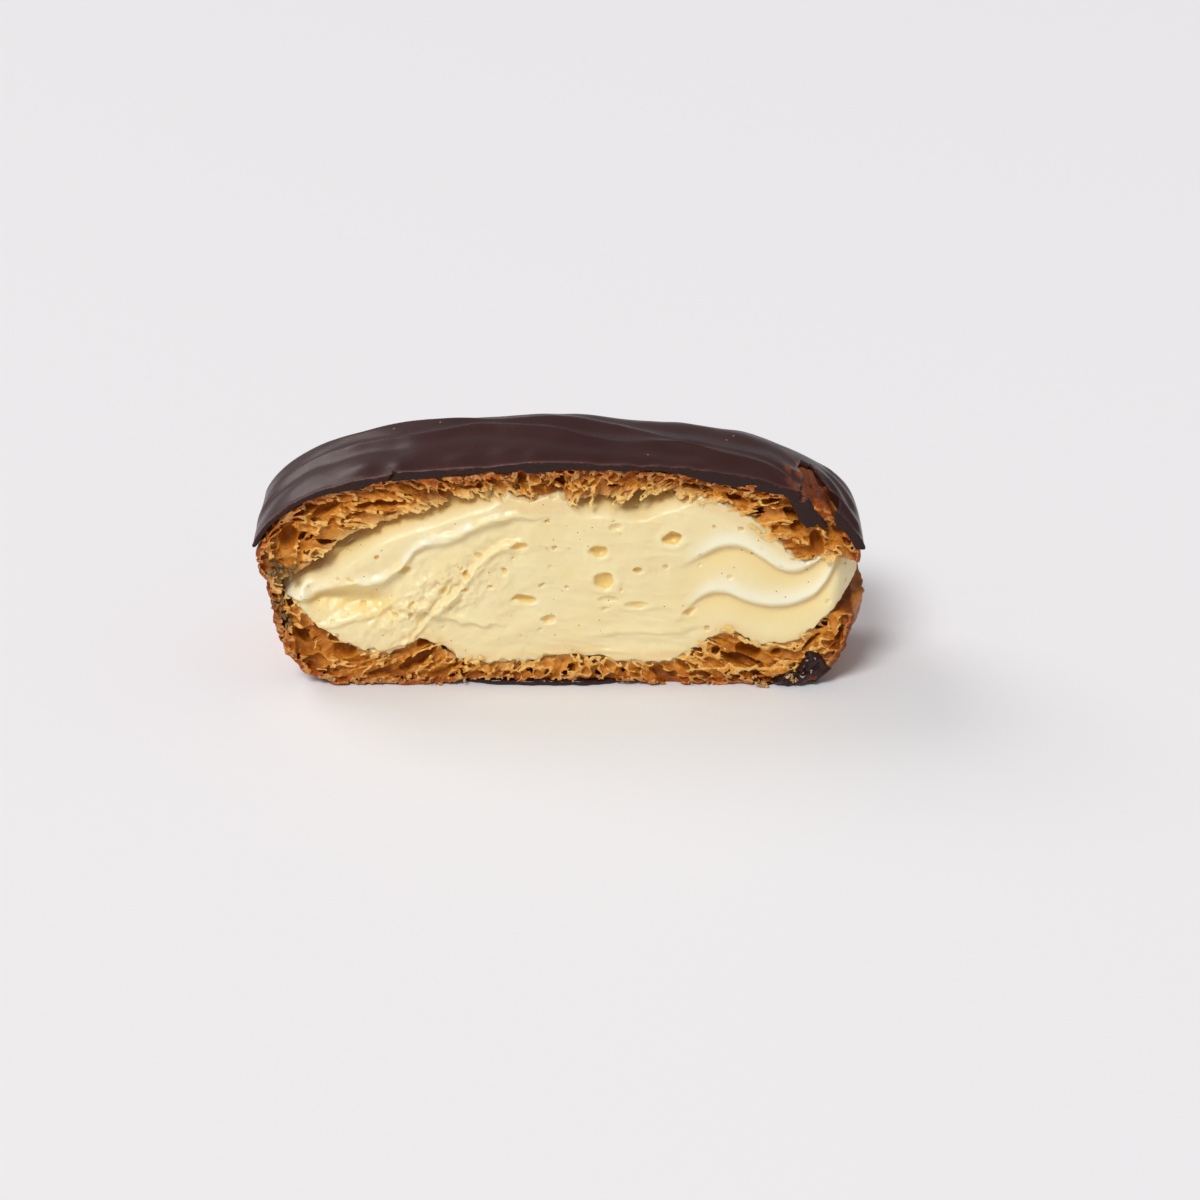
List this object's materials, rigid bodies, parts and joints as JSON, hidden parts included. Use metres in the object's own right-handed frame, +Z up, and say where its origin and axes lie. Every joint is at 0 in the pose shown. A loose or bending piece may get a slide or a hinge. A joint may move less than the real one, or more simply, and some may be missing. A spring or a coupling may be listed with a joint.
{
  "type": "chocolate eclair",
  "caption": "Chocolate eclair cut lengthwise: a long choux bun with a chocolate top, split and filled with vanilla cream that shows in the flat cut face.",
  "frame": {"origin": "under the middle of the bounding box, on the surface that the eclair rests on", "axes": "+X along the eclair, +Z up, and -Y is the side with the cut face"},
  "size_m": [0.1343, 0.0448, 0.056],
  "materials": {
    "choux_pastry": "baked choux crumb, open and dry, golden brown crust",
    "vanilla_cream": "smooth pale yellow vanilla cream with a soft moist sheen",
    "dark_chocolate": "set dark chocolate, satin with a soft broad sheen"
  },
  "bodies": {
    "root": {"choux_base": "choux_pastry", "cream_filling": "vanilla_cream", "choux_lid": "choux_pastry", "chocolate_glaze": "dark_chocolate", "chocolate_drip": "dark_chocolate", "chocolate_smear": "dark_chocolate"}
  },
  "joints": []
}
